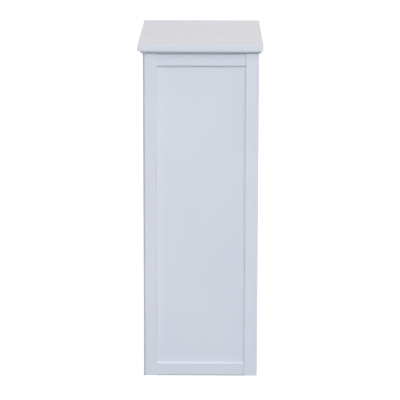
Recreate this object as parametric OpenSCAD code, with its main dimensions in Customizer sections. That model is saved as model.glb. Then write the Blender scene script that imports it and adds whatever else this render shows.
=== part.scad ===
// Bathroom shelf unit: four posts, framed and panelled sides, a coved top board, one fixed
// and two adjustable shelves. Width runs along X, the open front faces -Y, the floor is Z = 0.

/* [Overall] */
// Width of the top board, side to side
unit_width = 550; // [460:1:700]
// Depth of the top board, front to back
unit_depth = 330; // [280:1:420]
// Height from the floor to the top surface
unit_height = 900; // [800:1:1100]

/* [Top board] */
// Height of the top board's square edge
top_edge = 16.5; // [14:0.5:25]
// Width of the flat step under the square edge
top_step = 6; // [4:0.5:12]
// Height of the small fillet between the step and the cove
cove_fillet = 0.5; // [0.5:0.5:3]
// Radius of the cove under the step
cove_radius = 5; // [4:0.5:8]
// How far the cove's foot stands out from the posts
cove_margin = 0; // [0:0.5:3]
// How far the cove's foot stands out from the back panel
rear_margin = 3; // [2:0.5:8]
// Rounding of the top board's upright corners
top_corner = 6; // [4:0.5:10]
// Rounding of the top board's upper edges
top_arris = 1; // [1:0.5:3]

/* [Posts and rails] */
// Width of the posts, and the depth of the front ones
post_size = 35; // [30:1:45]
// Depth of the rear posts
rear_post_depth = 31; // [28:1:45]
// Rounding of the posts' upright edges
post_arris = 1; // [0.5:0.5:4]
// Height of the rails under the top board
top_rail_height = 34; // [30:1:60]
// Height of the rails near the floor
bottom_rail_height = 32; // [28:0.5:50]
// Thickness of every rail
rail_thickness = 22; // [20:0.5:24]
// Rounding of the rails' outer edges
rail_arris = 0.5; // [0.5:0.5:2]
// How far the side and front rails sit back from the posts' outer faces
rail_setback = 3.5; // [1:0.5:5]
// How far the posts reach below the bottom rails
post_toe = 0; // [0:0.5:20]
// Length of the side rails' tenons
tenon_length = 14; // [8:1:20]
// Height of the shoulder beyond each tenon
tenon_shoulder = 6; // [4:0.5:8]

/* [Side and back panels] */
// Thickness of the side panels
panel_thickness = 6; // [4:0.5:8]
// How far the side panels sit back from the rails' outer faces
panel_recess = 5; // [3:0.5:11]
// Depth of the grooves that hold the side panels
groove_depth = 6; // [4:0.5:8]
// Room left for the side panels to swell in their grooves
panel_gap = 0.5; // [0.2:0.1:1]
// Thickness of the back panel
back_thickness = 4; // [2.5:0.5:5]
// How far the back panel's edges sit in from the posts' sides
back_inset = 0.5; // [0:0.5:2]

/* [Shelves] */
// Thickness of every shelf
shelf_thickness = 16; // [14:0.5:20]
// Height of the lower adjustable shelf's underside
lower_shelf_height = 300; // [240:1:380]
// Height of the upper adjustable shelf's underside
upper_shelf_height = 570; // [500:1:660]
// How far the shelves' front edges sit back from the posts' faces
shelf_setback = 4.5; // [2:0.5:20]
// Room at each end and behind an adjustable shelf
shelf_gap = 1; // [0.5:0.5:2]
// Rounding of the shelves' front edges
shelf_arris = 1.5; // [0.5:0.5:3]
// Running gap between a shelf and the pins under it
pin_gap = 0.3; // [0.2:0.1:0.5]
// Radius of the holes for the shelf pins
pin_hole_radius = 2.5; // [2:0.25:3]
// How far a pin's collar stands out round its shank
pin_collar = 0.5; // [0.3:0.1:1]
// Depth of the holes for the shelf pins
pin_hole_depth = 10; // [8:1:14]
// Height between neighbouring pin holes
pin_pitch = 32; // [20:1:32]
// Reach of a pin's flat tab under its shelf
pin_tab_length = 9; // [6:0.5:14]
// Width of a pin's flat tab
pin_tab_width = 7; // [5:0.5:10]
// Thickness of a pin's flat tab
pin_tab_thickness = 1.8; // [1.5:0.1:2.5]

/* [Fittings] */
// Radius of the dowels in the front and back rails' ends
dowel_radius = 3; // [2.5:0.25:3.5]
// Length of the dowels
dowel_length = 24; // [16:1:26]
// How far each dowel sits below its rail's middle
dowel_drop = 8.5; // [8:0.5:9]
// Radius of the round cam locks
cam_radius = 7.5; // [6:0.5:8]
// How far the cam locks reach past their bolts
cam_heel = 1.2; // [0.8:0.2:3]
// Distance from a cam lock's middle to the rail's end
cam_distance = 24; // [22:1:34]
// How far each cam lock sits above its rail's middle
cam_rise = 3.5; // [3:0.5:5]
// Radius of the cam bolts' shanks
cam_bolt_radius = 3; // [2.5:0.25:3.5]
// Radius of the cam bolts' threaded ends
cam_thread_radius = 2.5; // [2:0.25:3]
// Length of the cam bolts' threaded ends
cam_thread_length = 11; // [8:1:13]
// Leg of the angle brackets under the top board
bracket_leg = 20; // [16:1:26]
// Width of the angle brackets
bracket_width = 16; // [14:1:24]
// Thickness of the angle brackets
bracket_thickness = 2; // [1.5:0.5:3]
// Inner radius of the angle brackets' bend
bracket_bend = 1; // [0.5:0.5:2]
// Rounding of the angle brackets' corners
bracket_corner = 3; // [1:0.5:5]
// Distance of the angle brackets from the unit's middle
bracket_spread = 60; // [40:1:90]
// Radius of the short screws' shanks
screw_radius = 1.75; // [1.5:0.25:2]
// Radius of the short screws' heads
screw_head_radius = 3.5; // [3:0.25:4]
// Height of the short screws' heads
screw_head_height = 2; // [1.5:0.25:2.5]
// Length of the short screws' shanks
screw_length = 14; // [10:1:16]
// Radius of the shelf screws' shanks
long_screw_radius = 2; // [1.75:0.25:2.25]
// Length of the shelf screws' shanks
long_screw_length = 27; // [24:1:30]
// Wood between a shelf screw's head and the top of its rail
shelf_screw_grip = 15.5; // [13:0.5:20]
// Distance of the shelf screws from the unit's middle
shelf_screw_spread = 150; // [80:1:165]
// Rows of screws along each side of the back panel
back_screw_rows = 5; // [3:1:8]
// Screws along the top and the bottom of the back panel
back_screw_columns = 3; // [2:1:5]
// Distance from the end screws to the back panel's top and bottom edges
back_screw_margin = 60; // [55:1:100]
// Radius of the holes for fixing to a wall
wall_hole_radius = 2.75; // [2.25:0.25:3.5]
// Distance between the two holes for fixing to a wall
wall_hole_spacing = 320; // [200:1:340]
// Radius of the floor glides
glide_radius = 10; // [8:0.5:13]
// Thickness of the floor glides
glide_thickness = 2; // [2:0.5:4]
// How far the floor glides stand below the posts
glide_stand = 0.5; // [0.5:0.5:1.5]
// Length of the floor glides' nails
glide_nail_length = 6; // [4:0.5:7]
// Radius of the floor glides' nails
glide_nail_radius = 1; // [0.75:0.25:1.25]
// Play round a glued or screwed piece in its hole or groove
joint_play = 0.1; // [0.05:0.05:0.2]

/* [Hidden] */
$fn = 64;
paint = [0.90, 0.92, 0.95];
raw_board = [0.72, 0.70, 0.67];
steel = [0.72, 0.73, 0.75];
beech = [0.80, 0.66, 0.48];
plastic = [0.82, 0.82, 0.80];
// Length by which a cut runs past the face that it leaves
past = 1;
// Wood left between the head of a back panel screw and the next hole along
screw_clear = 2;
// Holes in each row for the shelf pins, of which the middle one is used
pin_rows = 5;
// Length of the collar round a shelf pin
pin_collar_length = 1;

top_thickness = top_edge + cove_fillet + cove_radius;
body_top = unit_height - top_thickness;
cove_reach = top_step + cove_radius;
body_side = unit_width / 2 - cove_reach - cove_margin;
body_front = -unit_depth / 2 + cove_reach + cove_margin;
body_back = unit_depth / 2 - cove_reach - rear_margin;
post_back = body_back - back_thickness;
post_inner = body_side - post_size;
front_inner = body_front + post_size;
back_inner = post_back - rear_post_depth;
post_foot = glide_stand;
rail_foot = post_foot + post_toe;
bottom_rail_top = rail_foot + bottom_rail_height;
top_rail_bottom = body_top - top_rail_height;
rail_face = body_side - rail_setback;
rail_inner = rail_face - rail_thickness;
panel_face = rail_face - panel_recess;
panel_inner = panel_face - panel_thickness;
front_rail_face = body_front + rail_setback;
front_rail_middle = front_rail_face + rail_thickness / 2;
back_rail_middle = post_back - rail_thickness / 2;
top_rail_middle = (top_rail_bottom + body_top) / 2;
bottom_rail_middle = (rail_foot + bottom_rail_top) / 2;
shelf_front = body_front + shelf_setback;
shelf_back = post_back - shelf_gap;
shelf_floor_top = bottom_rail_top + shelf_thickness;
pin_top = pin_hole_radius + pin_collar;
pin_front = body_front + post_size / 2;
pin_back = post_back - rear_post_depth / 2;
pin_heights = [for (shelf = [lower_shelf_height, upper_shelf_height]) shelf - pin_gap - pin_top];
counterbore_depth = bottom_rail_height - shelf_screw_grip;
wall_hole_x = wall_hole_spacing / 2;
back_screw_x = (body_side + post_inner) / 2;
back_screw_low = rail_foot + back_screw_margin;
back_screw_high = body_top - back_screw_margin;
back_screw_heights = [for (row = [0 : back_screw_rows - 1])
    back_screw_low + row * (back_screw_high - back_screw_low) / (back_screw_rows - 1)];
// The screws along a back rail stay between the wall holes above and the shelf screws below
back_screw_reach = min(wall_hole_x, shelf_screw_spread) - 2 * screw_head_radius - screw_clear;
back_screw_columns_x = [for (column = [0 : back_screw_columns - 1])
    -back_screw_reach + column * 2 * back_screw_reach / (back_screw_columns - 1)];
// A cam lock's depth is measured from its rail's inner face to just past the bolt
cam_depth = rail_thickness / 2 + cam_bolt_radius + cam_heel;
// A cam bolt's neck and head follow its shank, and the lock's slot takes the head
cam_neck_radius = cam_bolt_radius - 1;
cam_neck_length = 4;
cam_head_length = 2.5;
cam_slot = cam_bolt_radius + joint_play;
// The cam locks lie this far below the rail's face, with a crossed recess for the driver
cam_sink = 0.5;
cam_recess_depth = 1.5;
cam_recess_width = 1.4;
// Width of the crossed recess in a short screw's head
screw_slot_width = 0.8;
// Depth of the tapered heads that lie flush in the back panel
flush_head_height = screw_head_radius - screw_radius;

// A box between its lowest and its highest corner
module block(low, high) {
    translate(low) cube(high - low);
}

// A cylinder that starts at a point and runs along X, Y or Z; a negative length runs back
module rod(start, along, length, radius) {
    turn = along == "x" ? [0, 90, 0] : along == "y" ? [-90, 0, 0] : [0, 0, 0];
    translate(start) rotate(turn) translate([0, 0, min(length, 0)])
        cylinder(h = abs(length), r = radius);
}

// A rectangle with one corner at the origin and each corner in the list rounded:
// [low x low y, high x low y, low x high y, high x high y]
module eased_rectangle(width, height, radius, eased = [true, true, true, true]) {
    corners = [[radius, radius], [width - radius, radius],
        [radius, height - radius], [width - radius, height - radius]];
    square_corners = [[0, 0], [width - radius, 0], [0, height - radius],
        [width - radius, height - radius]];
    translate([radius, 0]) square([width - 2 * radius, height]);
    translate([0, radius]) square([width, height - 2 * radius]);
    for (i = [0 : 3])
        if (eased[i]) translate(corners[i]) circle(r = radius);
        else translate(square_corners[i]) square(radius);
}

// Shows its children on the right-hand side, or mirrored on the left
module on_side(side) {
    if (side == "right") children();
    else mirror([1, 0, 0]) children();
}

// The section of the square edge: a square corner below, an eased one above
module top_edge_section() {
    square([top_corner - top_arris, top_edge]);
    square([top_corner, top_edge - top_arris]);
    translate([top_corner - top_arris, top_edge - top_arris]) circle(r = top_arris);
}

// The square-edged part of the top board: straight sides and turned corners round a flat middle
module top_slab() {
    x = unit_width / 2 - top_corner;
    y = unit_depth / 2 - top_corner;
    translate([-x, -y, 0]) cube([2 * x, 2 * y, top_edge]);
    for (side = [-1, 1]) {
        translate([side * x, y, 0]) rotate([90, 0, 0]) linear_extrude(2 * y)
            mirror([side < 0 ? 1 : 0, 0]) top_edge_section();
        translate([-x, side * y, 0]) rotate([90, 0, 90]) linear_extrude(2 * x)
            mirror([side < 0 ? 1 : 0, 0]) top_edge_section();
    }
    for (corner = [[1, 1, 0], [-1, 1, 90], [-1, -1, 180], [1, -1, 270]])
        translate([corner[0] * x, corner[1] * y, 0]) rotate([0, 0, corner[2]])
            rotate_extrude(angle = 90) top_edge_section();
}

// Half the section of the moulding under the square edge, measured from the board's middle
module cove_section(half_width) {
    shoulder = half_width - top_step;
    difference() {
        translate([-shoulder, 0]) square([2 * shoulder, cove_fillet + cove_radius]);
        for (side = [-1, 1]) translate([side * shoulder, 0]) circle(r = cove_radius);
    }
}

// The moulding under the square edge: two coved sections that meet in mitres
module cove_moulding() {
    height = cove_fillet + cove_radius;
    intersection() {
        translate([0, unit_depth / 2, 0]) rotate([90, 0, 0]) linear_extrude(unit_depth)
            cove_section(unit_width / 2);
        translate([-unit_width / 2, 0, 0]) rotate([90, 0, 90]) linear_extrude(unit_width)
            cove_section(unit_depth / 2);
    }
}

module top_board() {
    color(paint) difference() {
        union() {
            translate([0, 0, body_top + cove_fillet + cove_radius]) top_slab();
            translate([0, 0, body_top]) cove_moulding();
        }
        for (side = [-1, 1], y = [-bracket_spread, bracket_spread])
            rod([side * (rail_inner - bracket_leg / 2), y, body_top - past], "z",
                screw_length - bracket_thickness + joint_play + past, screw_radius + joint_play);
    }
}

// Holes in a post or a rail's end for the cam bolts and dowels of both rails
module rail_joint_holes(x, middle_y) {
    for (middle = [top_rail_middle, bottom_rail_middle]) {
        rod([x - past, middle_y, middle + cam_rise], "x",
            cam_thread_length + joint_play + past, cam_thread_radius + joint_play);
        rod([x - past, middle_y, middle - dowel_drop], "x",
            dowel_length / 2 + joint_play + past, dowel_radius + joint_play);
    }
}

// A right-hand post: its inner face is grooved and mortised for the side, and the face
// towards the opening is bored for the rail fittings and the shelf pins
module right_post(front) {
    low_y = front ? body_front : back_inner;
    depth = front ? post_size : rear_post_depth;
    inner = front ? front_inner : back_inner;
    into = front ? -1 : 1;
    pin_y = front ? pin_front : pin_back;
    groove = [inner + into * groove_depth, inner - into * past];
    mortise = [inner + into * (tenon_length + joint_play), inner - into * past];
    difference() {
        translate([post_inner, low_y, post_foot]) linear_extrude(body_top - post_foot)
            eased_rectangle(post_size, depth, post_arris);
        block([panel_inner - joint_play, min(groove), bottom_rail_top - groove_depth],
            [panel_face + joint_play, max(groove), top_rail_bottom + groove_depth]);
        for (tenon = [[rail_foot + tenon_shoulder, bottom_rail_top - groove_depth],
                      [top_rail_bottom + groove_depth, body_top - tenon_shoulder]])
            block([panel_inner - joint_play, min(mortise), tenon[0] - joint_play],
                [panel_face + joint_play, max(mortise), tenon[1] + joint_play]);
        rail_joint_holes(post_inner, front ? front_rail_middle : back_rail_middle);
        for (height = pin_heights, row = [0 : pin_rows - 1])
            rod([post_inner - past, pin_y, height + (row - (pin_rows - 1) / 2) * pin_pitch], "x",
                pin_hole_depth + past, pin_hole_radius);
        rod([post_inner + post_size / 2, low_y + depth / 2, post_foot - past], "z",
            glide_thickness - post_foot + past, glide_radius + joint_play);
        rod([post_inner + post_size / 2, low_y + depth / 2, post_foot - past], "z",
            glide_thickness - post_foot + glide_nail_length + joint_play + past,
            glide_nail_radius + joint_play);
        if (!front)
            for (height = back_screw_heights)
                rod([back_screw_x, post_back + past, height], "y",
                    -(screw_length - back_thickness + joint_play + past), screw_radius + joint_play);
    }
}

module front_left_post() { color(paint) on_side("left") right_post(true); }
module front_right_post() { color(paint) on_side("right") right_post(true); }
module rear_left_post() { color(paint) on_side("left") right_post(false); }
module rear_right_post() { color(paint) on_side("right") right_post(false); }

// A right-hand side rail, tenoned into both posts and grooved for the panel
module right_side_rail(low, high, panel_above) {
    groove = panel_above ? [high - groove_depth, high + past] : [low - past, low + groove_depth];
    tenon = panel_above ? [low + tenon_shoulder, high - groove_depth]
        : [low + groove_depth, high - tenon_shoulder];
    difference() {
        union() {
            translate([rail_inner, back_inner, low]) rotate([90, 0, 0])
                linear_extrude(back_inner - front_inner)
                    eased_rectangle(rail_thickness, high - low, rail_arris, [false, true, false, true]);
            block([panel_inner, front_inner - tenon_length, tenon[0]],
                [panel_face, back_inner + tenon_length, tenon[1]]);
        }
        block([panel_inner - joint_play, front_inner - past, groove[0]],
            [panel_face + joint_play, back_inner + past, groove[1]]);
        if (!panel_above)
            for (y = [-bracket_spread, bracket_spread])
                rod([rail_inner - past, y, body_top - bracket_leg / 2], "x",
                    screw_length - bracket_thickness + joint_play + past, screw_radius + joint_play);
    }
}

module left_top_rail() {
    color(paint) on_side("left") right_side_rail(top_rail_bottom, body_top, false);
}
module left_bottom_rail() {
    color(paint) on_side("left") right_side_rail(rail_foot, bottom_rail_top, true);
}
module right_top_rail() {
    color(paint) on_side("right") right_side_rail(top_rail_bottom, body_top, false);
}
module right_bottom_rail() {
    color(paint) on_side("right") right_side_rail(rail_foot, bottom_rail_top, true);
}

// A right-hand side panel, free to swell in its grooves
module right_side_panel() {
    seat = groove_depth - panel_gap;
    block([panel_inner, front_inner - seat, bottom_rail_top - seat],
        [panel_face, back_inner + seat, top_rail_bottom + seat]);
}

module left_panel() { color(paint) on_side("left") right_side_panel(); }
module right_panel() { color(paint) on_side("right") right_side_panel(); }

// The bores in one end of a front or back rail: cam pocket, bolt hole and dowel hole
module rail_end_bores(side, middle_y, middle, inside) {
    pocket = side * (post_inner - cam_distance);
    end = side * (post_inner + past);
    rod([pocket, middle_y + inside * (rail_thickness / 2 + past), middle + cam_rise], "y",
        -inside * (cam_depth + joint_play + past), cam_radius + joint_play);
    rod([end, middle_y, middle + cam_rise], "x", -side * (cam_distance + past),
        cam_bolt_radius + joint_play);
    rod([end, middle_y, middle - dowel_drop], "x",
        -side * (dowel_length / 2 + joint_play + past), dowel_radius + joint_play);
}

// A front or back rail between two posts, drawn to them by cam fittings and cut by its children
module cross_rail(front, low, high) {
    middle_y = front ? front_rail_middle : back_rail_middle;
    inside = front ? 1 : -1;
    difference() {
        translate([-post_inner, middle_y, low]) rotate([90, 0, 90]) linear_extrude(2 * post_inner)
            translate([-rail_thickness / 2, 0])
                eased_rectangle(rail_thickness, high - low, rail_arris, [front, false, front, false]);
        for (side = [-1, 1]) rail_end_bores(side, middle_y, (low + high) / 2, inside);
        children();
    }
}

// Stepped holes up through a bottom rail for the screws that hold the bottom shelf
module shelf_screw_holes(middle_y) {
    for (side = [-1, 1]) {
        rod([side * shelf_screw_spread, middle_y, rail_foot - past], "z",
            counterbore_depth + past, screw_head_radius + 2 * joint_play);
        rod([side * shelf_screw_spread, middle_y, rail_foot + counterbore_depth - past], "z",
            shelf_screw_grip + 2 * past, long_screw_radius + joint_play);
    }
}

// Screw holes in the back of a back rail
module back_rail_screw_holes(height) {
    for (x = back_screw_columns_x)
        rod([x, post_back + past, height], "y",
            -(screw_length - back_thickness + joint_play + past), screw_radius + joint_play);
}

module front_top_rail() { color(paint) cross_rail(true, top_rail_bottom, body_top); }
module front_bottom_rail() {
    color(paint) cross_rail(true, rail_foot, bottom_rail_top) shelf_screw_holes(front_rail_middle);
}
module rear_top_rail() {
    color(paint) cross_rail(false, top_rail_bottom, body_top) {
        for (side = [-1, 1])
            rod([side * wall_hole_x, post_back + past, top_rail_middle], "y",
                -(rail_thickness + 2 * past), wall_hole_radius);
        back_rail_screw_holes(top_rail_middle);
    }
}
module rear_bottom_rail() {
    color(paint) cross_rail(false, rail_foot, bottom_rail_top) {
        shelf_screw_holes(back_rail_middle);
        back_rail_screw_holes(bottom_rail_middle);
    }
}

// A hole through the back panel for a screw whose tapered head lies flush with its back
module countersunk_hole(x, height) {
    rod([x, body_back + past, height], "y", -(back_thickness + 2 * past), screw_radius + joint_play);
    translate([x, body_back, height]) rotate([90, 0, 0]) translate([0, 0, -past])
        cylinder(h = flush_head_height + past, r1 = screw_head_radius + joint_play + past,
            r2 = screw_radius + joint_play);
}

// The back panel lies over the backs of the rear posts and the back rails
module back_panel() {
    color(raw_board) difference() {
        block([-body_side + back_inset, post_back, rail_foot],
            [body_side - back_inset, body_back, body_top]);
        for (side = [-1, 1]) {
            rod([side * wall_hole_x, body_back + past, top_rail_middle], "y",
                -(back_thickness + 2 * past), wall_hole_radius);
            for (height = back_screw_heights) countersunk_hole(side * back_screw_x, height);
        }
        for (x = back_screw_columns_x, height = [top_rail_middle, bottom_rail_middle])
            countersunk_hole(x, height);
    }
}

// The fixed bottom shelf lies on all four bottom rails and is notched round the posts
module bottom_shelf() {
    depth = shelf_back - shelf_front;
    reach = panel_inner - panel_gap;
    color(paint) difference() {
        translate([-reach, shelf_front, bottom_rail_top]) rotate([90, 0, 90])
            linear_extrude(2 * reach)
                eased_rectangle(depth, shelf_thickness, shelf_arris, [true, false, true, false]);
        for (side = ["left", "right"]) on_side(side) {
            block([post_inner - panel_gap, shelf_front - past, bottom_rail_top - past],
                [reach + past, front_inner + panel_gap, shelf_floor_top + past]);
            block([post_inner - panel_gap, back_inner - panel_gap, bottom_rail_top - past],
                [reach + past, shelf_back + past, shelf_floor_top + past]);
        }
        for (x = [-shelf_screw_spread, shelf_screw_spread], y = [front_rail_middle, back_rail_middle])
            rod([x, y, bottom_rail_top - past], "z",
                long_screw_length - shelf_screw_grip + joint_play + past,
                long_screw_radius + joint_play);
    }
}

// An adjustable shelf, free to be drawn out over its pins
module adjustable_shelf(height) {
    width = 2 * (post_inner - shelf_gap);
    color(paint) translate([-width / 2, shelf_front, height]) rotate([90, 0, 90])
        linear_extrude(width)
            eased_rectangle(shelf_back - shelf_front, shelf_thickness, shelf_arris,
                [true, false, true, false]);
}

module lower_shelf() { adjustable_shelf(lower_shelf_height); }
module upper_shelf() { adjustable_shelf(upper_shelf_height); }

// A spoon-shaped shelf pin: shank in the post, collar at its face, flat tab under the shelf
module right_shelf_pin(y, height) {
    collar_x = post_inner - pin_collar_length;
    round_x = collar_x - pin_tab_length + pin_tab_width / 2;
    tab_foot = height + pin_top - pin_tab_thickness;
    rod([collar_x, y, height], "x", pin_hole_depth - joint_play + pin_collar_length,
        pin_hole_radius - joint_play / 2);
    rod([collar_x, y, height], "x", pin_collar_length, pin_top);
    rod([round_x, y, tab_foot], "z", pin_tab_thickness, pin_tab_width / 2);
    block([round_x, y - pin_tab_width / 2, tab_foot],
        [collar_x, y + pin_tab_width / 2, height + pin_top]);
}

module shelf_pins(height) {
    color(steel) for (side = ["left", "right"], y = [pin_front, pin_back])
        on_side(side) right_shelf_pin(y, height);
}

module lower_shelf_pins() { shelf_pins(pin_heights[0]); }
module upper_shelf_pins() { shelf_pins(pin_heights[1]); }

// Places its children at each of the eight joints between a rail's end and a post, with X
// pointing into the post and Y towards the inside of the unit
module at_rail_joints(rise) {
    for (side = ["left", "right"], middle = [top_rail_middle, bottom_rail_middle])
        on_side(side) {
            translate([post_inner, front_rail_middle, middle + rise]) children();
            translate([post_inner, back_rail_middle, middle + rise]) mirror([0, 1, 0]) children();
        }
}

module rail_dowels() {
    color(beech) at_rail_joints(-dowel_drop)
        rod([-dowel_length / 2, 0, 0], "x", dowel_length, dowel_radius);
}

// A cam bolt: thread in the post, shank in the rail, neck and head inside the cam lock
module cam_bolts() {
    neck_start = -cam_distance + cam_head_length;
    color(steel) at_rail_joints(cam_rise) {
        rod([0, 0, 0], "x", cam_thread_length, cam_thread_radius);
        rod([neck_start + cam_neck_length, 0, 0], "x",
            -neck_start - cam_neck_length, cam_bolt_radius);
        rod([neck_start, 0, 0], "x", cam_neck_length, cam_neck_radius);
        rod([neck_start, 0, 0], "x", -cam_head_length, cam_bolt_radius);
    }
}

// A round cam lock with the slot that takes the bolt's head and a crossed recess in its face
module cam_locks() {
    face = rail_thickness / 2 - cam_sink;
    color(steel) at_rail_joints(cam_rise) difference() {
        rod([-cam_distance, face, 0], "y", -(cam_depth - cam_sink), cam_radius);
        block([-cam_distance - cam_slot, -cam_slot, -cam_slot],
            [-cam_distance + cam_radius + past, cam_slot, cam_slot]);
        for (across = [[1, 0], [0, 1]])
            translate([-cam_distance, face, 0])
                cube([across[0] * cam_radius + cam_recess_width, 2 * cam_recess_depth,
                    across[1] * cam_radius + cam_recess_width], center = true);
    }
}

// An angle bracket between a side rail's inner face and the top board's underside, bent from
// flat strip with rounded ends
module right_top_bracket(y) {
    hole = screw_radius + joint_play;
    bend = bracket_thickness + bracket_bend;
    flat = bracket_leg - bend;
    translate([rail_inner, y, body_top]) difference() {
        union() {
            translate([-bracket_leg, -bracket_width / 2, -bracket_thickness])
                linear_extrude(bracket_thickness)
                    eased_rectangle(flat, bracket_width, bracket_corner, [true, false, true, false]);
            translate([-bracket_thickness, -bracket_width / 2, -bracket_leg])
                rotate([90, 0, 90]) linear_extrude(bracket_thickness)
                    eased_rectangle(bracket_width, flat, bracket_corner, [true, true, false, false]);
            translate([-bend, bracket_width / 2, -bend]) rotate([90, 0, 0])
                rotate_extrude(angle = 90)
                    translate([bracket_bend, 0]) square([bracket_thickness, bracket_width]);
        }
        rod([-bracket_leg / 2, 0, -bracket_thickness - past], "z",
            bracket_thickness + 2 * past, hole);
        rod([-bracket_thickness - past, 0, -bracket_leg / 2], "x",
            bracket_thickness + 2 * past, hole);
    }
}

module top_brackets() {
    color(steel) for (side = ["left", "right"], y = [-bracket_spread, bracket_spread])
        on_side(side) right_top_bracket(y);
}

// The crossed recess in a screw's head, its middle at the origin
module driver_cross() {
    for (turn = [0, 90]) rotate([0, 0, turn])
        cube([screw_head_radius, screw_slot_width, screw_head_height], center = true);
}

// A pan-headed screw standing on the origin, its shank along +Z and its head below
module short_screw() {
    cylinder(h = screw_length, r = screw_radius);
    difference() {
        rotate_extrude() polygon([[0, -screw_head_height],
            [screw_head_radius - screw_head_height / 2, -screw_head_height],
            [screw_head_radius, -screw_head_height / 2], [screw_head_radius, 0], [0, 0]]);
        translate([0, 0, -screw_head_height]) driver_cross();
    }
}

// A screw with a tapered head that lies level with the origin, its point along +Z
module flush_screw() {
    difference() {
        rotate_extrude() polygon([[0, 0], [screw_head_radius, 0], [screw_radius, flush_head_height],
            [screw_radius, screw_length], [0, screw_length]]);
        driver_cross();
    }
}

module top_bracket_screws() {
    color(steel) for (side = ["left", "right"], y = [-bracket_spread, bracket_spread])
        on_side(side) {
            translate([rail_inner - bracket_leg / 2, y, body_top - bracket_thickness]) short_screw();
            translate([rail_inner - bracket_thickness, y, body_top - bracket_leg / 2])
                rotate([0, 90, 0]) short_screw();
        }
}

module back_panel_screws() {
    color(steel) {
        for (side = [-1, 1], height = back_screw_heights)
            translate([side * back_screw_x, body_back, height]) rotate([90, 0, 0]) flush_screw();
        for (x = back_screw_columns_x, height = [top_rail_middle, bottom_rail_middle])
            translate([x, body_back, height]) rotate([90, 0, 0]) flush_screw();
    }
}

// Screws up through the bottom rails into the bottom shelf
module bottom_shelf_screws() {
    color(steel) for (x = [-shelf_screw_spread, shelf_screw_spread],
            y = [front_rail_middle, back_rail_middle])
        translate([x, y, rail_foot + counterbore_depth]) {
            cylinder(h = long_screw_length, r = long_screw_radius);
            translate([0, 0, -screw_head_height])
                cylinder(h = screw_head_height, r = screw_head_radius);
        }
}

// A floor glide let into a post's foot: a chamfered disc with its nail in the post
module right_glide(front) {
    chamfer = glide_stand / 2;
    middle_y = front ? body_front + post_size / 2 : back_inner + rear_post_depth / 2;
    translate([post_inner + post_size / 2, middle_y, 0]) {
        rotate_extrude() polygon([[0, 0], [glide_radius - chamfer, 0], [glide_radius, chamfer],
            [glide_radius, glide_thickness], [0, glide_thickness]]);
        cylinder(h = glide_thickness + glide_nail_length, r = glide_nail_radius);
    }
}

module front_left_glide() { color(plastic) on_side("left") right_glide(true); }
module front_right_glide() { color(plastic) on_side("right") right_glide(true); }
module rear_left_glide() { color(plastic) on_side("left") right_glide(false); }
module rear_right_glide() { color(plastic) on_side("right") right_glide(false); }

top_board();
front_left_post();
front_right_post();
rear_left_post();
rear_right_post();
left_top_rail();
left_bottom_rail();
right_top_rail();
right_bottom_rail();
left_panel();
right_panel();
front_top_rail();
front_bottom_rail();
rear_top_rail();
rear_bottom_rail();
back_panel();
bottom_shelf();
lower_shelf();
upper_shelf();
lower_shelf_pins();
upper_shelf_pins();
rail_dowels();
cam_bolts();
cam_locks();
top_brackets();
top_bracket_screws();
back_panel_screws();
bottom_shelf_screws();
front_left_glide();
front_right_glide();
rear_left_glide();
rear_right_glide();
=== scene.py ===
import math

import bpy
import numpy as np
from mathutils import Euler, Matrix, Vector


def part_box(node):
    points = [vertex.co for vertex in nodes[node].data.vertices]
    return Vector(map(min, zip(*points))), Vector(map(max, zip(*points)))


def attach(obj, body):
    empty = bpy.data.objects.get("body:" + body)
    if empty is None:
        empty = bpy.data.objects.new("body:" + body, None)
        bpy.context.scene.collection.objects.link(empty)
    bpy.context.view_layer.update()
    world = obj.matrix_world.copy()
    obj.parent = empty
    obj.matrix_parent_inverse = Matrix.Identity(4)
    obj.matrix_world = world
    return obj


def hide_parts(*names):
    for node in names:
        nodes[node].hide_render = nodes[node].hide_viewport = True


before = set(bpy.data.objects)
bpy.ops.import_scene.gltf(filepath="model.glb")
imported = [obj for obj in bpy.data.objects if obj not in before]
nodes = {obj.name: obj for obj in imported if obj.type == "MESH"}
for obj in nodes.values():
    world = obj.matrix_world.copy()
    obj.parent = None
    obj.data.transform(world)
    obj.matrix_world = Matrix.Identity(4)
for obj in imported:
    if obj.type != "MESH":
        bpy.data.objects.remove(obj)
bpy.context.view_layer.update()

# The top board is a solid blank with a square edge, eased above, over a small step and a square
# moulding that is rounded below. It is sprayed with white satin paint, as every wooden piece is,
# and held down by four angle brackets.

mm = 0.001
paint_white = (0.800, 0.815, 0.850, 1)
# The darker paint tone, mixed in by the clouds and grain and by the painted shade towards the floor.
paint_tone_and_shade = (0.755, 0.772, 0.812, 1)
paint_thin = (0.640, 0.635, 0.620, 1)
grain_across = 260
grain_along = 6
peel_scale = 430
cloud_scale = 4
thin_scale = 90
thin_reach = 1.3 * mm
# The painted shade towards the floor reaches this far up, and its share of the darker tone follows below.
floor_shade_reach = 300 * mm
cloud_tone = 0.55
grain_tone = 0.15
floor_shade_tone = 0.70
thin_tone = 0.35
paint_roughness = 0.38
cloud_roughness = 0.10
peel_roughness = 0.06
thin_roughness = 0.06
paint_specular = 0.4
peel_height = 0.45
grain_height = 0.55
paint_relief = 0.11 * mm
top_low, top_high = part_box("top_board")
top_corner = 6.0 * mm
top_arris = 1.0 * mm
top_edge_foot = 883.5 * mm
top_foot_arris = 0.4 * mm
top_step = 5.2 * mm
top_rear_step = 7.7 * mm
moulding_radius = 2.5 * mm
moulding_corner = 0.4 * mm
face_margin = 0.5 * mm
round_points = 8
sharp_angle = 38


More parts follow.
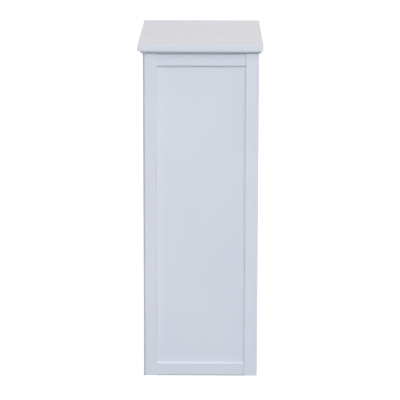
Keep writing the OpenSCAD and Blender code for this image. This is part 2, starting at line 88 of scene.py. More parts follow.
class Signal:
    """One output of a shader node. Arithmetic on it adds Math nodes, so that 1 - mask works."""

    def __init__(self, finish, socket):
        self.finish = finish
        self.socket = socket

    def output(self, name):
        return Signal(self.finish, self.socket.node.outputs[name])

    def math(self, operation, *values):
        return self.finish.node("ShaderNodeMath", {"operation": operation}, dict(enumerate(values)))

    def least(self, other):
        return self.math("MINIMUM", self, other)

    def most(self, other):
        return self.math("MAXIMUM", self, other)

    def wave(self):
        return self.math("SINE", self)

    def __add__(self, other):
        return self.math("ADD", self, other)

    def __sub__(self, other):
        return self.math("SUBTRACT", self, other)

    def __mul__(self, other):
        return self.math("MULTIPLY", self, other)

    __radd__ = __add__
    __rmul__ = __mul__

    def __rsub__(self, other):
        return self.math("SUBTRACT", other, self)


class Finish:
    """The nodes of a material, or of the studio's world, with the shader that they feed."""

    def __init__(self, owner, shader="Principled BSDF"):
        self.owner = owner
        owner.use_nodes = True
        self.tree = owner.node_tree
        self.shader = self.tree.nodes[shader]

    def node(self, kind, settings, sockets):
        """Adds a node, makes its settings, then gives its sockets their values or links."""
        made = self.tree.nodes.new(kind)
        for name, value in settings.items():
            setattr(made, name, value)
        open_sockets = [socket for socket in made.inputs if socket.enabled]
        for name, value in sockets.items():
            if isinstance(name, int):
                socket = open_sockets[name]
            else:
                socket = next(socket for socket in open_sockets if socket.name == name)
            if isinstance(value, Signal):
                self.tree.links.new(value.socket, socket)
            else:
                socket.default_value = value
        return Signal(self, next(socket for socket in made.outputs if socket.enabled))

    def place(self):
        """Where a point of the object lies, in metres."""
        return self.node("ShaderNodeTexCoord", {}, {}).output("Object")

    def vector(self, operation, *values):
        return self.node("ShaderNodeVectorMath", {"operation": operation}, dict(enumerate(values)))

    def axes(self, vector):
        """The three parts of a vector."""
        parts = self.node("ShaderNodeSeparateXYZ", {}, {0: vector})
        return [parts.output(name) for name in "XYZ"]

    def noise(self, vector, scale, detail=2.0):
        """Soft random lumps from 0 to 1, with the given number to the metre."""
        return self.node("ShaderNodeTexNoise", {}, {"Vector": vector, "Scale": scale, "Detail": detail})

    def stretched_noise(self, vector, stretch, detail, scale=1):
        """Noise with a number of lumps to the metre of its own along each axis."""
        return self.noise(self.vector("MULTIPLY", vector, stretch), scale, detail)

    def fade(self, value, start, end):
        """Eases from 0 where the value is at its start to 1 where it is at its end."""
        return self.node("ShaderNodeMapRange", {"interpolation_type": "SMOOTHSTEP"},
                         {"Value": value, "From Min": start, "From Max": end})

    def mix(self, factor, first, second):
        return self.node("ShaderNodeMix", {"data_type": "RGBA"},
                         {"Factor": factor, "A": first, "B": second})

    def feed(self, name, value):
        """Gives one of the shader's own sockets a value or a link."""
        if isinstance(value, Signal):
            self.tree.links.new(value.socket, self.shader.inputs[name])
        else:
            self.shader.inputs[name].default_value = value

    def relief(self, height, depth):
        """Raises the surface by a height from 0 to 1 times a depth in metres."""
        self.feed("Normal", self.node("ShaderNodeBump", {}, {"Distance": depth, "Height": height}))


def edge_distance(finish, node):
    """How far a point on a node's box is from the box's nearest edge. Of its three distances to
    the box's faces the least is nothing, so the middle one is the distance to the edge."""
    low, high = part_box(node)
    offset = finish.vector("ABSOLUTE", finish.vector("SUBTRACT", finish.place(), (low + high) / 2))
    x, y, z = finish.axes(finish.vector("SUBTRACT", (high - low) / 2, offset))
    return x + y + z - x.least(y).least(z) - x.most(y).most(z)


def paint(node, along):
    """White satin paint on one wooden node whose grain runs along axis 0, 1 or 2: a fine
    orange peel, grain that telegraphs faintly through, soft clouds of tone and sheen, a
    painted shade that darkens the coat towards the floor, and a thinner coat along the edges."""
    finish = Finish(bpy.data.materials.new(node + "_paint"))
    place = finish.place()
    stretch = [grain_across] * 3
    stretch[along] = grain_along
    grain = finish.stretched_noise(place, stretch, detail=4.0)
    peel = finish.noise(place, peel_scale)
    cloud = finish.fade(finish.noise(place, cloud_scale), start=0.3, end=0.7)
    edge = 1 - finish.fade(edge_distance(finish, node), 0, thin_reach)
    thin = edge * finish.noise(place, thin_scale, detail=3.0)
    # Painted shade: the coat darkens towards the floor, as if shaded there, by mixing in the darker tone.
    floor_shade = 1 - finish.fade(finish.axes(place)[2], 0, floor_shade_reach)
    tone = cloud * cloud_tone + grain * grain_tone + floor_shade * floor_shade_tone
    coat_with_floor_shade = finish.mix(tone, paint_white, paint_tone_and_shade)
    finish.feed("Base Color", finish.mix(thin * thin_tone, coat_with_floor_shade, paint_thin))
    finish.feed("Roughness", paint_roughness + cloud_roughness * cloud + peel_roughness * peel
                + thin_roughness * thin)
    finish.feed("Specular IOR Level", paint_specular)
    finish.relief(peel * peel_height + grain * grain_height, paint_relief)
    nodes[node].data.materials[0] = finish.owner
    return finish.owner


def skin(rings):
    """Makes a solid of a stack of rings, an array of ring by point by XYZ. Each ring's points
    are joined to the next ring's by two triangles, and each end is fanned to its middle.
    The faces are turned over if they enclose less than nothing."""
    count, sides, _ = rings.shape
    points = np.concatenate([rings.reshape(-1, 3), rings[0].mean(0)[None], rings[-1].mean(0)[None]])
    step = np.arange(sides)
    after = (step + 1) % sides
    row = np.arange(count - 1)[:, None] * sides
    here = row + step
    beside = row + after
    above = here + sides
    above_beside = beside + sides
    walls = np.concatenate([np.stack([here, beside, above_beside], -1),
                            np.stack([here, above_beside, above], -1)]).reshape(-1, 3)
    last = (count - 1) * sides
    first_fan = np.stack([after, step, np.full(sides, count * sides)], -1)
    last_fan = np.stack([last + step, last + after, np.full(sides, count * sides + 1)], -1)
    faces = np.concatenate([walls, first_fan, last_fan])
    corners = points[faces]
    volume = np.einsum("ij,ij->i", corners[:, 0], np.cross(corners[:, 1], corners[:, 2])).sum()
    return points, faces if volume > 0 else faces[:, ::-1]


def add_piece(name, shape, places, material, replaced):
    """Adds a shape once at each place, a 4 by 4 matrix, as one piece of the carcass that
    stands for a CAD node."""
    points, faces = shape
    turned = [points @ np.array(place.to_3x3()).T + np.array(place.translation) for place in places]
    numbered = faces[None] + np.arange(len(places))[:, None, None] * len(points)
    mesh = bpy.data.meshes.new(name)
    mesh.from_pydata(np.concatenate(turned).tolist(), [], numbered.reshape(-1, 3).tolist())
    mesh.shade_smooth()
    mesh.set_sharp_from_angle(angle=math.radians(sharp_angle))
    mesh.materials.append(material)
    piece = bpy.data.objects.new(name, mesh)
    bpy.context.scene.collection.objects.link(piece)
    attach(piece, "carcass")
    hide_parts(replaced)


def arc(inset, height, radius, start, end):
    """Part of a circle in the board's section: middle + radius * (cos, sin)."""
    turn = np.radians(np.linspace(start, end, round_points))
    return np.stack([inset + radius * np.cos(turn), height + radius * np.sin(turn)], -1)


def moulded_board():
    """A stack of rings down the board's section, of distances in from its outline and heights.
    Each ring is a rectangle whose corners are quarters of a circle about their own middles. The
    moulding stands further in at the rear. A ring close beside each rounding keeps its shading
    off the flat faces."""
    edge = np.concatenate([
        [(top_arris + face_margin, top_high.z)],
        arc(top_arris, top_high.z - top_arris, top_arris, 90, 180),
        [(0, top_high.z - top_arris - face_margin), (0, top_edge_foot + top_foot_arris + face_margin)],
        arc(top_foot_arris, top_edge_foot + top_foot_arris, top_foot_arris, 180, 270),
        [(top_foot_arris + face_margin, top_edge_foot), (top_step - face_margin, top_edge_foot)]])
    moulding = np.concatenate([
        [(top_step, top_edge_foot), (top_step, top_low.z + moulding_radius + face_margin)],
        arc(top_step + moulding_radius, top_low.z + moulding_radius, moulding_radius, 180, 270),
        [(top_step + moulding_radius + face_margin, top_low.z)]])
    inset, height = np.concatenate([edge, moulding])[:, :, None].transpose(1, 0, 2)
    rear = np.repeat([0, top_rear_step - top_step], [len(edge), len(moulding)])[:, None]
    corner = np.maximum(top_corner - inset, moulding_corner)
    quarters = [np.linspace(start, start + 90, round_points) for start in [0, 90, 180, 270]]
    turn = np.radians(np.concatenate(quarters))
    x = np.repeat([1, -1, -1, 1], round_points) * (top_high.x - inset - corner) + corner * np.cos(turn)
    y = np.repeat([1, 1, -1, -1], round_points) * (top_high.y - inset - corner) + corner * np.sin(turn)
    y = y - np.repeat([1, 1, 0, 0], round_points) * rear
    return skin(np.stack([x, y, np.broadcast_to(height, x.shape)], -1))


add_piece("moulded_top_board", moulded_board(), [Matrix()], paint("top_board", 0),
          "top_board")

# The four posts are lengths of solid wood with lightly eased edges, the rear ones a little less
# deep. They are mortised for the side rails and bored for the rail fittings and the shelf pins.

for post in ["front_left_post", "front_right_post", "rear_left_post", "rear_right_post"]:
    paint(post, 2)

# The rails are solid wood a little thinner than the posts, set back from their faces. Those of
# the sides are glued into mortises, and those of the front and back are drawn up by cam fittings.

for side in ["left", "right"]:
    paint(side + "_top_rail", 1)
    paint(side + "_bottom_rail", 1)
for end in ["front", "rear"]:
    paint(end + "_top_rail", 0)
    paint(end + "_bottom_rail", 0)

# The side panels are thin flat boards that float in grooves in the posts and rails, painted
# with the frame.

for side in ["left", "right"]:
    paint(side + "_panel", 2)

# The three shelves are painted boards. The bottom one is screwed down on the bottom rails and
# notched round the posts, and the other two lie loose on their pins.

for shelf in ["bottom_shelf", "lower_shelf", "upper_shelf"]:
    paint(shelf, 0)

# The back panel is thin hardboard. Its inner face is white, and its edges and its back are left
# raw: pressed grey-brown fibre, with the print of the press's wire mesh on the back.

board_face = (0.790, 0.800, 0.815, 1)
board_pale = (0.620, 0.605, 0.600, 1)
board_dark = (0.510, 0.490, 0.485, 1)
fibre_stretch = (1, 2.5, 1)
fibre_scale = 900
blotch_scale = 14
fibre_tone = 0.7
blotch_tone = 0.5
skin_start = 0.2 * mm
skin_end = 0.4 * mm
mesh_pitch = 1.3 * mm
mesh_depth = 0.1 * mm
skin_roughness = 0.48
bare_roughness = 0.30
fibre_roughness = 0.08
board_specular = 0.3
fibre_height = 0.6
mesh_height = 0.25
board_relief = 0.12 * mm

board = Finish(bpy.data.materials.new("raw_hardboard"))
board_low, board_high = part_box("back_panel")
place = board.place()
x, y, z = board.axes(place)
fibre = board.stretched_noise(place, fibre_stretch, detail=5.0, scale=fibre_scale)
blotch = board.noise(place, blotch_scale, detail=4.0)
tone = board.fade(fibre * fibre_tone + blotch * blotch_tone, start=0.35, end=0.85)
raw = board.mix(tone, board_pale, board_dark)
bare = board.fade(y, board_low.y + skin_start, board_low.y + skin_end)
behind = board.fade(y, board_high.y - mesh_depth, board_high.y)
wave_number = 2 * math.pi / mesh_pitch
wires = (x * wave_number).wave() * (z * wave_number).wave()
board.feed("Base Color", board.mix(bare, board_face, raw))
board.feed("Roughness", skin_roughness + bare_roughness * bare + fibre_roughness * fibre)
board.feed("Specular IOR Level", board_specular)
board.relief(fibre * fibre_height + wires * behind * mesh_height, board_relief)
nodes["back_panel"].data.materials[0] = board.owner

# The shelf pins are spoon-shaped steel pins: a round shank pushed into the post, a small collar
# against its face, and a flat rounded tab under the shelf. They are zinc plated.

zinc_pale = (0.760, 0.765, 0.780, 1)
zinc_dull = (0.560, 0.570, 0.590, 1)
zinc_patch_scale = 160
zinc_grain_scale = 2600
zinc_patch_tone = 0.7
zinc_grain_tone = 0.2
zinc_patch_roughness = 0.12
zinc_grain_roughness = 0.10
zinc_relief = 0.01 * mm
pin_sides = 40
pin_profile = mm * np.array([(9.9, 1.5), (9.75, 1.95), (9.4, 2.3), (9.0, 2.45), (0.2, 2.45),
                             (0.0, 2.75), (-0.1, 3.0), (-0.85, 3.0), (-1.0, 2.85)])
pin_neck = -1.5 * mm
pin_neck_share = 0.98
pin_neck_half_height = 0.88 * mm
pin_tab_half_width = 3.5 * mm
pin_tab_half_height = 0.9 * mm
pin_tab_thinning = 0.35
pin_tab_thinning_power = 6
pin_tab_middle = 2.1 * mm
pin_tab_end = -10.0 * mm
pin_tab_steps = 12
pin_tab_gap = 0.12
round_power = 2
tab_power = 4


def middle(node):
    """The middle of a node's box."""
    low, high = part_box(node)
    return (low + high) / 2


post_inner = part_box("front_right_post")[0].x
post_x = middle("front_right_post").x
post_places_y = {end: middle(end + "_right_post").y for end in ["front", "rear"]}


def zinc_plate(name, roughness):
    """Zinc plating: dull and bright patches and a fine crystal grain."""
    finish = Finish(bpy.data.materials.new(name))
    place = finish.place()
    patch = finish.fade(finish.noise(place, zinc_patch_scale, detail=4.0), start=0.35, end=0.65)
    grain = finish.noise(place, zinc_grain_scale, detail=3.0)
    tone = patch * zinc_patch_tone + grain * zinc_grain_tone
    finish.feed("Base Color", finish.mix(tone, zinc_pale, zinc_dull))
    finish.feed("Metallic", 1.0)
    finish.feed("Roughness", roughness + zinc_patch_roughness * patch + zinc_grain_roughness * grain)
    finish.relief(grain, zinc_relief)
    return finish.owner


def facing(origin, direction):
    """A place at a point, with its Z axis turned to a direction."""
    turn = Vector(direction).to_track_quat("Z", "Y").to_matrix().to_4x4()
    return Matrix.Translation(origin) @ turn


def spoon_pin():
    """A pin along X, its shank at positive X, where the profile's pairs are a place along X and
    a radius. Each ring is a superellipse,
    |y / half width| ^ power + |(z - middle) / half height| ^ power = 1, and the half width
    near the tab's end follows a circle."""
    shank_x, shank_radius = pin_profile.T
    turn = np.linspace(0, math.pi / 2 - pin_tab_gap, pin_tab_steps)
    tab_x = pin_tab_end + pin_tab_half_width - pin_tab_half_width * np.sin(turn)
    tab_width = pin_tab_half_width * np.cos(turn)
    tab_height = pin_tab_half_height * (1 - pin_tab_thinning * np.sin(turn) ** pin_tab_thinning_power)
    x = np.concatenate([shank_x, [pin_neck], tab_x])
    half_width = np.concatenate([shank_radius, [pin_tab_half_width * pin_neck_share], tab_width])
    half_height = np.concatenate([shank_radius, [pin_neck_half_height], tab_height])
    parts = [len(shank_x), 1 + len(tab_x)]
    centre = np.repeat([0, pin_tab_middle], parts)
    power = np.repeat([round_power, tab_power], parts)
    angle = np.linspace(0, 2 * math.pi, pin_sides, endpoint=False)
    across = np.sign(np.cos(angle)) * np.abs(np.cos(angle)) ** (2 / power[:, None])
    up = np.sign(np.sin(angle)) * np.abs(np.sin(angle)) ** (2 / power[:, None])
    y = half_width[:, None] * across
    z = centre[:, None] + half_height[:, None] * up
    return skin(np.stack([np.broadcast_to(x[:, None], y.shape), y, z], -1))


pin_zinc = zinc_plate("pin_zinc", roughness=0.26)
for shelf in ["lower", "upper"]:
    height = middle(shelf + "_shelf_pins").z
    places = [Matrix.Translation((side * post_inner, y, height)) @ Matrix.Rotation(turn, 4, "Z")
              for side, turn in [(1, 0), (-1, math.pi)] for y in post_places_y.values()]
    add_piece(shelf + "_spoon_pins", spoon_pin(), places, pin_zinc, shelf + "_shelf_pins")

# The dowels in the ends of the front and back rails are fluted beech with chamfered ends, so
# that air and glue can leave the hole as they are knocked in.

beech_pale = (0.760, 0.590, 0.400, 1)
beech_dark = (0.600, 0.430, 0.270, 1)
beech_grain_stretch = (60, 900, 900)
beech_fleck_stretch = (700, 2500, 2500)
beech_fleck_tone = 0.4
beech_roughness = 0.60
beech_grain_roughness = 0.15
beech_relief = 0.03 * mm
dowel_radius = 3.0 * mm
dowel_half = 12.0 * mm
dowel_chamfer = 1.0 * mm
dowel_chamfer_depth = 0.8 * mm
flutes = 16
flute_points = 6
flute_depth = 0.18 * mm
dowel_drop = 8.5 * mm
joint_places_y = [middle(end + "_top_rail").y for end in ["front", "rear"]]
joint_heights = [middle("front_" + level + "_rail").z for level in ["top", "bottom"]]

beech = Finish(bpy.data.materials.new("dowel_beech"))
beech_place = beech.place()
beech_grain = beech.stretched_noise(beech_place, beech_grain_stretch, detail=5.0)
beech_fleck = beech.stretched_noise(beech_place, beech_fleck_stretch, detail=2.0)
beech_tone = beech.fade(beech_grain + beech_fleck_tone * beech_fleck, start=0.45, end=0.95)
beech.feed("Base Color", beech.mix(beech_tone, beech_pale, beech_dark))
beech.feed("Roughness", beech_roughness + beech_grain_roughness * beech_grain)
beech.relief(beech_grain, beech_relief)


def rail_joint_places(rise):
    """The eight joints between a rail's end and a post, facing out into the post."""
    return [facing((side * post_inner, y, height + rise), (side, 0, 0))
            for side in [-1, 1] for y in joint_places_y for height in joint_heights]


def fluted_dowel():
    """A round bar along Z whose radius dips in flutes: the depth of a flute times the cosine,
    where that is positive, of the angle times the number of flutes."""
    z = np.array([-dowel_half, dowel_chamfer - dowel_half, 0, dowel_half - dowel_chamfer, dowel_half])
    radius = dowel_radius - dowel_chamfer_depth * np.array([1, 0, 0, 0, 1])
    angle = np.linspace(0, 2 * math.pi, flute_points * flutes, endpoint=False)
    flute = flute_depth * np.maximum(np.cos(flutes * angle), 0)
    ring = radius[:, None] - flute
    return skin(np.stack([ring * np.cos(angle), ring * np.sin(angle),
                          np.broadcast_to(z[:, None], ring.shape)], -1))


add_piece("fluted_dowels", fluted_dowel(), rail_joint_places(-dowel_drop), beech.owner,
          "rail_dowels")

# Each cam bolt is turned steel, zinc plated: a coarse thread screwed into the post, a plain shank
# in the rail, and a neck and head that the cam lock grips. The head has a crossed slot.

bolt_sides = 40
bolt_face = mm * np.array([(0.15, -24), (0.4, -24), (0.7, -24), (1.0, -24), (1.3, -24), (1.6, -24),
                           (2.0, -24)])
bolt_body = mm * np.array([(2.5, -23.95), (3.0, -23.5), (3.0, -21.9), (2.6, -21.5), (2.0, -21.2),
                           (2.0, -17.8), (2.6, -17.5), (3.0, -17.1), (3.0, -0.4), (2.6, 0.0),
                           (1.9, 0.05)])
bolt_slot = {"half_width": 0.4 * mm, "reach": 1.5 * mm, "depth": 0.9 * mm}
bolt_thread_start = 0.1 * mm
bolt_thread_length = 11.0 * mm
bolt_thread_core = 1.8 * mm
bolt_thread_radius = 2.5 * mm
bolt_thread_pitch = 2.4 * mm
bolt_tip = 1.6 * mm
cam_rise = 3.5 * mm
thread_steps = 7
thread_steepness = 3.2
tip_share = 0.06
tip_power = 0.75
slot_wall_foot = 1.25
slot_wall_width = 0.4
slot_end_foot = 1.1
slot_end_width = 0.2


def turned_rings(profile, sides):
    """Rings of a turned shape: each pair of radius and height carried round Z."""
    radius, height = np.array(profile).T
    angle = np.linspace(0, 2 * math.pi, sides, endpoint=False)
    x = radius[:, None] * np.cos(angle)
    y = radius[:, None] * np.sin(angle)
    return np.stack([x, y, np.broadcast_to(height[:, None], x.shape)], -1)


def slotted(rings, half_width, reach, depth):
    """Presses a cross into rings that face down: a point moves up by the depth times a slope
    that falls from 1 to 0 about the walls and the end of each arm of the cross."""
    across = np.abs(rings[..., 0])
    along = np.abs(rings[..., 1])
    arms = [np.clip((slot_wall_foot - thin / half_width) / slot_wall_width, 0, 1)
            * np.clip((slot_end_foot - far / reach) / slot_end_width, 0, 1)
            for thin, far in [(across, along), (along, across)]]
    pressed = rings.copy()
    pressed[..., 2] += depth * np.maximum(*arms)
    return pressed


def thread_rings(start, end, core, crest, pitch, tip, sides):
    """Rings of a right-handed thread up Z. The radius is the core's plus a ridge where the
    height in pitches less the angle in turns is near a whole number, and shrinks over
    the tip."""
    height = np.linspace(start, end, int((end - start) / pitch * thread_steps) + 2)
    angle = np.linspace(0, 2 * math.pi, sides, endpoint=False)
    turns = height[:, None] / pitch - angle / (2 * math.pi)
    ridge = np.clip(1 - thread_steepness * np.abs(turns - np.round(turns)), 0, 1)
    run_in = np.clip((height - start) / pitch, 0, 1)[:, None]
    radius = core + (crest - core) * ridge * run_in
    radius = radius * np.clip((end - height) / tip + tip_share, 0, 1)[:, None] ** tip_power
    x = radius * np.cos(angle)
    y = radius * np.sin(angle)
    return np.stack([x, y, np.broadcast_to(height[:, None], x.shape)], -1)


def cam_bolt():
    """A bolt turned about Z, its head down and its thread from nothing up."""
    face = turned_rings(bolt_face, bolt_sides)
    body = turned_rings(bolt_body, bolt_sides)
    thread = thread_rings(bolt_thread_start, bolt_thread_length, bolt_thread_core, bolt_thread_radius,
                          bolt_thread_pitch, bolt_tip, bolt_sides)
    return skin(np.concatenate([slotted(face, **bolt_slot), body, thread]))


add_piece("threaded_cam_bolts", cam_bolt(), rail_joint_places(cam_rise),
          zinc_plate("bolt_zinc", roughness=0.30), "cam_bolts")

# The cam locks are round zinc castings let into the inner faces of the rails, and the angle
# brackets are bent from zinc plated strip.

nodes["cam_locks"].data.materials[0] = zinc_plate("cast_zinc", roughness=0.42)
nodes["top_brackets"].data.materials[0] = zinc_plate("bracket_zinc", roughness=0.28)

# The short screws are zinc plated steel with a crossed slot. Two with round heads hold each
# bracket, and sixteen with tapered heads lie flush in the back panel.

screw_sides = 40
short_screw_length = 14.0 * mm
short_screw_radius = 1.75 * mm
short_screw_pitch = 1.5 * mm
screw_head_radius = 3.5 * mm
screw_head_height = 2.0 * mm
screw_head_power = 3
screw_head_start = 0.06
screw_head_rings = 15
flush_head = mm * np.array([(0.05, 0.02), (0.3, 0.02), (0.6, 0.02), (0.9, 0.02), (1.2, 0.02),
                            (1.5, 0.02), (1.8, 0.02), (2.2, 0.02), (2.7, 0.02), (3.2, 0.02),
                            (3.4, 0.05), (3.42, 0.12), (1.75, 1.75)])
screw_slot = {"half_width": 0.42 * mm, "reach": 1.75 * mm, "depth": 1.1 * mm}
screw_neck = [(1, 0), (1, 0.5 * mm), (0.72, 1.2 * mm)]
screw_thread_start = 1.3 * mm
screw_core = 0.70
screw_tip = 3.5 * mm
bracket_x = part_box("right_top_rail")[0].x
bracket_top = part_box("right_top_rail")[1].z
bracket_places_y = [-60 * mm, 60 * mm]
bracket_half_leg = 10 * mm
bracket_sheet = 2 * mm
back_screw_margin = 60 * mm
back_side_count = 5
back_side_heights = np.linspace(board_low.z + back_screw_margin, board_high.z - back_screw_margin,
                                back_side_count)
back_middle_x = np.array([-141, 0, 141]) * mm
screw_zinc = zinc_plate("screw_zinc", roughness=0.24)


def wood_screw(top, length, radius, pitch):
    """A screw along Z. The radii and heights of its head's top are given, and its shank starts
    where they end. The neck's pairs are a share of that radius and a distance from the head."""
    start = top[-1][1]
    head = slotted(turned_rings(top, screw_sides), **screw_slot)
    neck = turned_rings([(radius * share, start + below) for share, below in screw_neck], screw_sides)
    thread = thread_rings(start + screw_thread_start, length, radius * screw_core, radius, pitch,
                          screw_tip, screw_sides)
    return skin(np.concatenate([head, neck, thread]))


def round_head():
    """The top of a round head above its underside at nothing. It follows the superellipse
    (r / head radius) ^ 3 + (height / head height) ^ 3 = 1."""
    r = np.linspace(screw_head_start, 1, screw_head_rings)
    height = -screw_head_height * (1 - r ** screw_head_power) ** (1 / screw_head_power)
    return np.stack([r * screw_head_radius, height], -1)


bracket_screw = wood_screw(round_head(), short_screw_length, short_screw_radius, short_screw_pitch)
bracket_places = []
for side in [-1, 1]:
    for y in bracket_places_y:
        up = (side * (bracket_x - bracket_half_leg), y, bracket_top - bracket_sheet)
        out = (side * (bracket_x - bracket_sheet), y, bracket_top - bracket_half_leg)
        bracket_places += [facing(up, (0, 0, 1)), facing(out, (side, 0, 0))]
add_piece("bracket_screws", bracket_screw, bracket_places, screw_zinc, "top_bracket_screws")

back_screw = wood_screw(flush_head, short_screw_length, short_screw_radius, short_screw_pitch)
back_points = [(side * post_x, height) for side in [-1, 1] for height in back_side_heights]
back_points += [(x, height) for x in back_middle_x for height in joint_heights]
back_places = [facing((x, board_high.y, height), (0, -1, 0)) for x, height in back_points]
add_piece("back_screws", back_screw, back_places, screw_zinc, "back_panel_screws")

# Four longer screws of the same zinc plated steel come up through stepped holes in the front and
# rear bottom rails and hold the bottom shelf down on them.

long_screw_length = 27.0 * mm
long_screw_radius = 2.0 * mm
long_screw_pitch = 1.8 * mm
long_screw_x = 150 * mm
long_screw_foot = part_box("bottom_shelf_screws")[0].z + screw_head_height
long_screw = wood_screw(round_head(), long_screw_length, long_screw_radius, long_screw_pitch)
long_places = [facing((side * long_screw_x, y, long_screw_foot), (0, 0, 1))
               for side in [-1, 1] for y in joint_places_y]
add_piece("shelf_screws", long_screw, long_places, screw_zinc, "bottom_shelf_screws")

# A thin glide of moulded plastic is let into the foot of each post and stands just proud of it.
# Its rubbing face is scuffed, and its steel nail stands up into the post.

glide_pale = (0.760, 0.760, 0.740, 1)
glide_scuff = (0.560, 0.555, 0.540, 1)
nail_steel = (0.620, 0.620, 0.630, 1)
glide_profile = mm * np.array([(0.4, 0.35), (1.6, 0.32), (2.1, 0.28), (2.5, 0.06), (3.0, 0.0),
                               (9.5, 0.0), (9.8, 0.1), (10.0, 0.4), (10.0, 1.85), (9.85, 2.0),
                               (1.1, 2.0), (1.0, 2.05), (1.0, 6.9), (0.75, 7.4), (0.15, 8.0)])
glide_sides = 48
scuff_scale = 700
scuff_start = 0.05 * mm
scuff_end = 0.4 * mm
nail_start = 2.0 * mm
nail_end = 2.05 * mm
glide_roughness = 0.42
scuff_roughness = 0.25
glide_grain_scale = 1800
glide_relief = 0.02 * mm

glide = Finish(bpy.data.materials.new("glide_plastic"))
glide_place = glide.place()
glide_height = glide.axes(glide_place)[2]
scuff = glide.fade(glide.noise(glide_place, scuff_scale, detail=4.0), start=0.5, end=0.62)
scuff = scuff * (1 - glide.fade(glide_height, scuff_start, scuff_end))
nail = glide.fade(glide_height, nail_start, nail_end)
glide.feed("Base Color", glide.mix(nail, glide.mix(scuff, glide_pale, glide_scuff), nail_steel))
glide.feed("Metallic", nail)
glide.feed("Roughness", glide_roughness + scuff_roughness * scuff)
glide.relief(glide.noise(glide_place, glide_grain_scale), glide_relief)

glide_shape = skin(turned_rings(glide_profile, glide_sides))
for end, y in post_places_y.items():
    for side, sign in [("left", -1), ("right", 1)]:
        add_piece(f"{end}_{side}_nailed_glide", glide_shape, [Matrix.Translation((sign * post_x, y, 0))],
                  glide.owner, f"{end}_{side}_glide")

# The studio has a plain white floor. It is bright enough by itself for the unit to leave only
# a faint shadow, and it throws no light back up. Under the unit its glow is painted down to
# near black, a painted shadow that draws a fine line along the foot.

floor_half = 14.0
floor_drop = 0.4 * mm
floor_grey = (0.20, 0.20, 0.20, 1)
floor_lit = (1.0, 1.0, 1.0, 1)
painted_shadow_colour = (0.02, 0.02, 0.02, 1)
floor_glow = 0.92
painted_shadow_inside = -1.0 * mm
painted_shadow_outside = 3.0 * mm
foot_low = Vector((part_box("left_bottom_rail")[0].x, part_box("front_bottom_rail")[0].y, 0))
foot_high = Vector((-foot_low.x, board_high.y, 0))
floor_mesh = bpy.data.meshes.new("floor")
floor_corner = np.array([(-1, -1, 0), (1, -1, 0), (1, 1, 0), (-1, 1, 0)]) * floor_half
floor_mesh.from_pydata((floor_corner - (0, 0, floor_drop)).tolist(), [], [(0, 1, 2, 3)])
floor = bpy.data.objects.new("floor", floor_mesh)
bpy.context.scene.collection.objects.link(floor)
floor_white = Finish(bpy.data.materials.new("floor_white"))
floor_white.feed("Base Color", floor_grey)
floor_white.feed("Roughness", 1.0)
floor_white.feed("Specular IOR Level", 0.0)
from_middle = floor_white.vector("ABSOLUTE", floor_white.vector(
    "SUBTRACT", floor_white.place(), (foot_low + foot_high) / 2))
beyond_x, beyond_y, _ = floor_white.axes(floor_white.vector(
    "SUBTRACT", from_middle, (foot_high - foot_low) / 2))
# Painted shadow: inside the unit's footprint the floor's glow fades to near black.
outside_painted_shadow = floor_white.fade(beyond_x.most(beyond_y), painted_shadow_inside, painted_shadow_outside)
floor_white.feed("Emission Color", floor_white.mix(outside_painted_shadow, painted_shadow_colour, floor_lit))
floor_white.feed("Emission Strength", floor_glow)
floor_mesh.materials.append(floor_white.owner)
floor.visible_diffuse = False
floor.visible_glossy = False
floor.visible_shadow = False

# The light is a dome of soft patches, bluish from the camera's side (azimuth 0, with 90 on the
# picture's right) and nearly white from the others, with two soft boxes in watts. A patch falls
# off as the cosine of the angle from its middle to a power.

light_patches = [
    ((0, 20), 40, (5.09, 5.77, 6.22)),
    ((0, 35), 4, (1.55, 1.64, 1.77)),
    ((30, 0), 12, (0.50, 0.35, 0.42)),
    ((105, 8), 14, (2.80, 2.75, 2.80)),
    ((138, 6), 20, (2.40, 2.30, 2.40)),
    ((180, 35), 4, (0.90, 0.82, 0.80)),
    ((222, 6), 20, (2.40, 2.30, 2.40)),
    ((258, 8), 14, (2.40, 2.35, 2.40)),
]
soft_boxes = [((10, 45), (7.0, 5.0, 5.5)), ((70, 30), (19.3, 19.9, 15.3))]
soft_box_side = 1.4
soft_box_distance = 3.5
soft_box_aim = Vector((0, 0, 0.6))


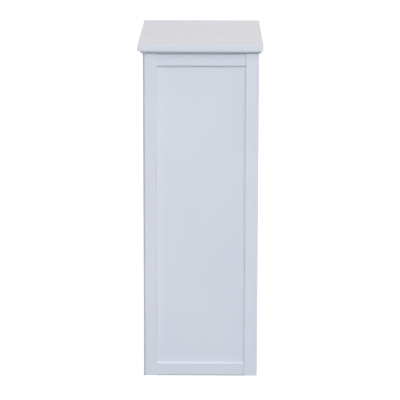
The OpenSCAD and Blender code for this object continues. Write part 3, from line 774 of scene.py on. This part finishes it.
def towards(azimuth, elevation):
    """The direction of a light, seen from the unit."""
    around = math.radians(azimuth)
    above = math.radians(elevation)
    return Vector((-math.cos(around) * math.cos(above), -math.sin(around) * math.cos(above), math.sin(above)))


studio = Finish(bpy.data.worlds.new("studio"), "Background")
bpy.context.scene.world = studio.owner
look = studio.node("ShaderNodeTexCoord", {}, {}).output("Generated")
total = (0, 0, 0)
for angles, power, colour in light_patches:
    nearness = studio.vector("DOT_PRODUCT", look, towards(*angles)).output("Value").most(0)
    patch = nearness.math("POWER", nearness, power)
    patch = studio.node("ShaderNodeCombineXYZ", {}, {0: patch, 1: patch, 2: patch})
    total = studio.vector("ADD", total, studio.vector("MULTIPLY", patch, colour))
studio.feed("Color", total)
studio.feed("Strength", 1.0)

for number, (angles, watts) in enumerate(soft_boxes):
    soft_box_data = bpy.data.lights.new(f"soft_box_{number}", "AREA")
    soft_box_data.size = soft_box_side
    soft_box_data.energy = max(watts)
    soft_box_data.color = np.array(watts) / max(watts)
    soft_box = bpy.data.objects.new(f"soft_box_{number}", soft_box_data)
    bpy.context.scene.collection.objects.link(soft_box)
    soft_box.matrix_world = facing(soft_box_aim + towards(*angles) * soft_box_distance, towards(*angles))
    soft_box.visible_camera = False

# The camera is at a standing person's eye height, about five metres from the unit's side, and
# looks a little down on its side and top through a long lens.

camera_place = (-5.5484, -0.0323, 1.5961)
camera_pitch = 11.872
camera_yaw = -0.3558
camera_roll = 0.1049
camera_lens = 182.87
camera_sensor = 36.0
camera_near = 0.1
camera_far = 100.0

camera_data = bpy.data.cameras.new("camera")
camera_data.sensor_width = camera_sensor
camera_data.lens = camera_lens
camera_data.clip_start = camera_near
camera_data.clip_end = camera_far
camera = bpy.data.objects.new("camera", camera_data)
bpy.context.scene.collection.objects.link(camera)
aim = Euler((math.radians(90 - camera_pitch), 0, math.radians(-90 - camera_yaw))).to_matrix().to_4x4()
lean = Matrix.Rotation(math.radians(camera_roll), 4, "Z")
camera.matrix_world = Matrix.Translation(camera_place) @ aim @ lean
bpy.context.scene.camera = camera
bpy.context.scene.view_settings.view_transform = "Standard"
